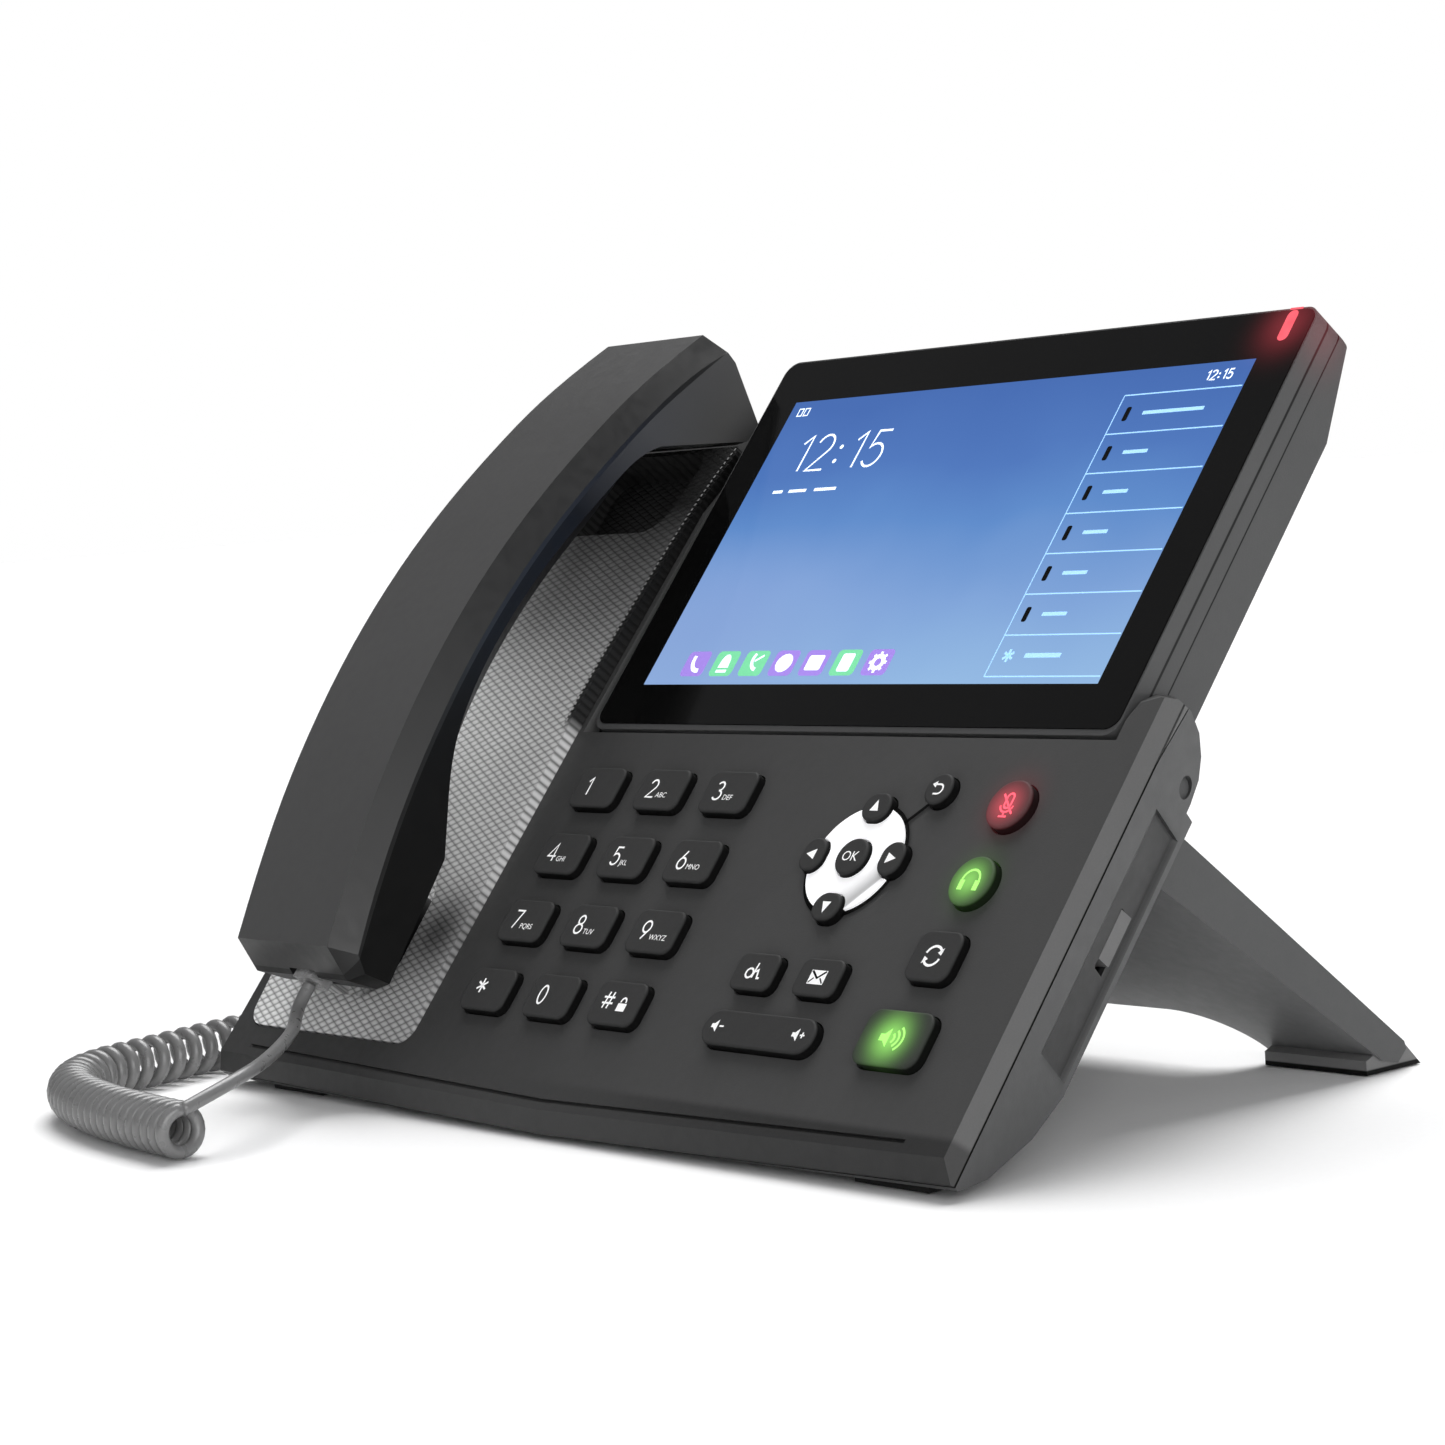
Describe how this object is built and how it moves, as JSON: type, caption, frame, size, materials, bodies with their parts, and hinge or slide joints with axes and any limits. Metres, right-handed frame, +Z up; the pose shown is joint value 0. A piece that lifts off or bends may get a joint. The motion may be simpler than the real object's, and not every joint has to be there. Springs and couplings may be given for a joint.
{
  "type": "desk ip phone",
  "caption": "Desk telephone with a tilting colour touch screen, keypad deck, cradled handset on a curly cord, and a slide-on rear stand.",
  "frame": {"origin": "middle of the object's footprint on the table, cord left out", "axes": "+X to the user's right, +Y away from the user, +Z up; the face leans back at 50 degrees from the table"},
  "size_m": [0.3023, 0.2266, 0.1793],
  "materials": {
    "deck_grey": "fine matt grain",
    "shell_grey": "fine matt grain",
    "handset_grey": "satin",
    "handset_dark": "satin",
    "key_black": "satin, printed legends",
    "silver_knit": "silver with a fine knit relief",
    "bright_trim": "bright satin",
    "cover_glass": "gloss black round a lit screen",
    "lit_screen": "lit",
    "signal_red": "translucent",
    "socket_black": "moulded",
    "port_grey": "moulded",
    "driver_black": "matt",
    "board_green": "solder mask",
    "screw_steel": "plated",
    "foot_rubber": "matt",
    "cord_grey": "semi-gloss jacket",
    "clear_plug": "clear moulding"
  },
  "bodies": {
    "base": {"base_top_shell": "deck_grey", "base_bottom_shell": "shell_grey", "base_screws": "screw_steel", "front_feet": "foot_rubber", "cradle_insert": "silver_knit", "nav_plate": "bright_trim", "keypad_mat": "foot_rubber", "main_board": "board_green", "loudspeaker": "driver_black", "ethernet_jacks": "socket_black", "small_jacks": "socket_black", "power_jack": "socket_black", "usb_port": "port_grey", "plug_base": "clear_plug", "cord_lead": "cord_grey", "cord_coil": "cord_grey", "cord_tail": "cord_grey"},
    "display": {"display_frame": "shell_grey", "display_glass": "cover_glass", "lcd_panel": "lit_screen", "display_board": "board_green", "light_bar": "signal_red", "display_rear": "shell_grey", "hinge_pins": "screw_steel"},
    "stand": {"stand_body": "shell_grey", "stand_pads": "foot_rubber"},
    "handset": {"handset_back": "handset_grey", "handset_front": "handset_dark", "ear_grille": "driver_black", "ear_speaker": "driver_black", "microphone": "driver_black", "handset_weight": "screw_steel", "handset_jack": "socket_black", "plug_handset": "clear_plug"},
    "hook": {"hook_switch": "key_black"},
    "key_0": {"key_0": "key_black"},
    "key_1": {"key_1": "key_black"},
    "key_2": {"key_2": "key_black"},
    "key_3": {"key_3": "key_black"},
    "key_4": {"key_4": "key_black"},
    "key_5": {"key_5": "key_black"},
    "key_6": {"key_6": "key_black"},
    "key_7": {"key_7": "key_black"},
    "key_8": {"key_8": "key_black"},
    "key_9": {"key_9": "key_black"},
    "key_back": {"key_back": "key_black"},
    "key_contacts": {"key_contacts": "key_black"},
    "key_down": {"key_down": "key_black"},
    "key_hash": {"key_hash": "key_black"},
    "key_headset": {"key_headset": "key_black"},
    "key_left": {"key_left": "key_black"},
    "key_mail": {"key_mail": "key_black"},
    "key_mute": {"key_mute": "key_black"},
    "key_ok": {"key_ok": "key_black"},
    "key_redial": {"key_redial": "key_black"},
    "key_right": {"key_right": "key_black"},
    "key_speaker": {"key_speaker": "key_black"},
    "key_star": {"key_star": "key_black"},
    "key_up": {"key_up": "key_black"},
    "key_volume": {"key_volume": "key_black"}
  },
  "joints": [
    {"name": "display_tilt", "type": "hinge", "parent": "base", "child": "display", "pos_m": [0.03535, -0.00461, 0.07959], "axis": [-1, 0, 0], "range_deg": [0, 30]},
    {"name": "stand_slide", "type": "slide", "parent": "base", "child": "stand", "axis": [0, -0.6428, -0.766], "range_m": [0, 0.008]},
    {"name": "handset_lift", "type": "slide", "parent": "base", "child": "handset", "axis": [0, -0.766, 0.6428], "range_m": [0, 0.08]},
    {"name": "hook_travel", "type": "slide", "parent": "base", "child": "hook", "axis": [0, -0.766, 0.6428], "range_m": [0, 0.004]},
    {"name": "key_0_press", "type": "slide", "parent": "base", "child": "key_0", "axis": [0, 0.766, -0.6428], "range_m": [0, 0.0012], "stiffness_N_per_m": 400, "springref_m": -0.0006},
    {"name": "key_1_press", "type": "slide", "parent": "base", "child": "key_1", "axis": [0, 0.766, -0.6428], "range_m": [0, 0.0012], "stiffness_N_per_m": 400, "springref_m": -0.0006},
    {"name": "key_2_press", "type": "slide", "parent": "base", "child": "key_2", "axis": [0, 0.766, -0.6428], "range_m": [0, 0.0012], "stiffness_N_per_m": 400, "springref_m": -0.0006},
    {"name": "key_3_press", "type": "slide", "parent": "base", "child": "key_3", "axis": [0, 0.766, -0.6428], "range_m": [0, 0.0012], "stiffness_N_per_m": 400, "springref_m": -0.0006},
    {"name": "key_4_press", "type": "slide", "parent": "base", "child": "key_4", "axis": [0, 0.766, -0.6428], "range_m": [0, 0.0012], "stiffness_N_per_m": 400, "springref_m": -0.0006},
    {"name": "key_5_press", "type": "slide", "parent": "base", "child": "key_5", "axis": [0, 0.766, -0.6428], "range_m": [0, 0.0012], "stiffness_N_per_m": 400, "springref_m": -0.0006},
    {"name": "key_6_press", "type": "slide", "parent": "base", "child": "key_6", "axis": [0, 0.766, -0.6428], "range_m": [0, 0.0012], "stiffness_N_per_m": 400, "springref_m": -0.0006},
    {"name": "key_7_press", "type": "slide", "parent": "base", "child": "key_7", "axis": [0, 0.766, -0.6428], "range_m": [0, 0.0012], "stiffness_N_per_m": 400, "springref_m": -0.0006},
    {"name": "key_8_press", "type": "slide", "parent": "base", "child": "key_8", "axis": [0, 0.766, -0.6428], "range_m": [0, 0.0012], "stiffness_N_per_m": 400, "springref_m": -0.0006},
    {"name": "key_9_press", "type": "slide", "parent": "base", "child": "key_9", "axis": [0, 0.766, -0.6428], "range_m": [0, 0.0012], "stiffness_N_per_m": 400, "springref_m": -0.0006},
    {"name": "key_back_press", "type": "slide", "parent": "base", "child": "key_back", "axis": [0, 0.766, -0.6428], "range_m": [0, 0.0012], "stiffness_N_per_m": 400, "springref_m": -0.0006},
    {"name": "key_contacts_press", "type": "slide", "parent": "base", "child": "key_contacts", "axis": [0, 0.766, -0.6428], "range_m": [0, 0.0012], "stiffness_N_per_m": 400, "springref_m": -0.0006},
    {"name": "key_down_press", "type": "slide", "parent": "base", "child": "key_down", "axis": [0, 0.766, -0.6428], "range_m": [0, 0.0012], "stiffness_N_per_m": 400, "springref_m": -0.0006},
    {"name": "key_hash_press", "type": "slide", "parent": "base", "child": "key_hash", "axis": [0, 0.766, -0.6428], "range_m": [0, 0.0012], "stiffness_N_per_m": 400, "springref_m": -0.0006},
    {"name": "key_headset_press", "type": "slide", "parent": "base", "child": "key_headset", "axis": [0, 0.766, -0.6428], "range_m": [0, 0.0012], "stiffness_N_per_m": 400, "springref_m": -0.0006},
    {"name": "key_left_press", "type": "slide", "parent": "base", "child": "key_left", "axis": [0, 0.766, -0.6428], "range_m": [0, 0.0012], "stiffness_N_per_m": 400, "springref_m": -0.0006},
    {"name": "key_mail_press", "type": "slide", "parent": "base", "child": "key_mail", "axis": [0, 0.766, -0.6428], "range_m": [0, 0.0012], "stiffness_N_per_m": 400, "springref_m": -0.0006},
    {"name": "key_mute_press", "type": "slide", "parent": "base", "child": "key_mute", "axis": [0, 0.766, -0.6428], "range_m": [0, 0.0012], "stiffness_N_per_m": 400, "springref_m": -0.0006},
    {"name": "key_ok_press", "type": "slide", "parent": "base", "child": "key_ok", "axis": [0, 0.766, -0.6428], "range_m": [0, 0.0012], "stiffness_N_per_m": 400, "springref_m": -0.0006},
    {"name": "key_redial_press", "type": "slide", "parent": "base", "child": "key_redial", "axis": [0, 0.766, -0.6428], "range_m": [0, 0.0012], "stiffness_N_per_m": 400, "springref_m": -0.0006},
    {"name": "key_right_press", "type": "slide", "parent": "base", "child": "key_right", "axis": [0, 0.766, -0.6428], "range_m": [0, 0.0012], "stiffness_N_per_m": 400, "springref_m": -0.0006},
    {"name": "key_speaker_press", "type": "slide", "parent": "base", "child": "key_speaker", "axis": [0, 0.766, -0.6428], "range_m": [0, 0.0012], "stiffness_N_per_m": 400, "springref_m": -0.0006},
    {"name": "key_star_press", "type": "slide", "parent": "base", "child": "key_star", "axis": [0, 0.766, -0.6428], "range_m": [0, 0.0012], "stiffness_N_per_m": 400, "springref_m": -0.0006},
    {"name": "key_up_press", "type": "slide", "parent": "base", "child": "key_up", "axis": [0, 0.766, -0.6428], "range_m": [0, 0.0012], "stiffness_N_per_m": 400, "springref_m": -0.0006},
    {"name": "key_volume_rock", "type": "hinge", "parent": "base", "child": "key_volume", "pos_m": [0.06475, -0.05992, 0.02222], "axis": [0, 0.6428, 0.766], "range_deg": [-3, 3], "stiffness_Nm_per_rad": 0.02}
  ],
  "couplings": [
    {"joint": "hook_travel", "follows": "handset_lift", "ratio": 0.05}
  ]
}
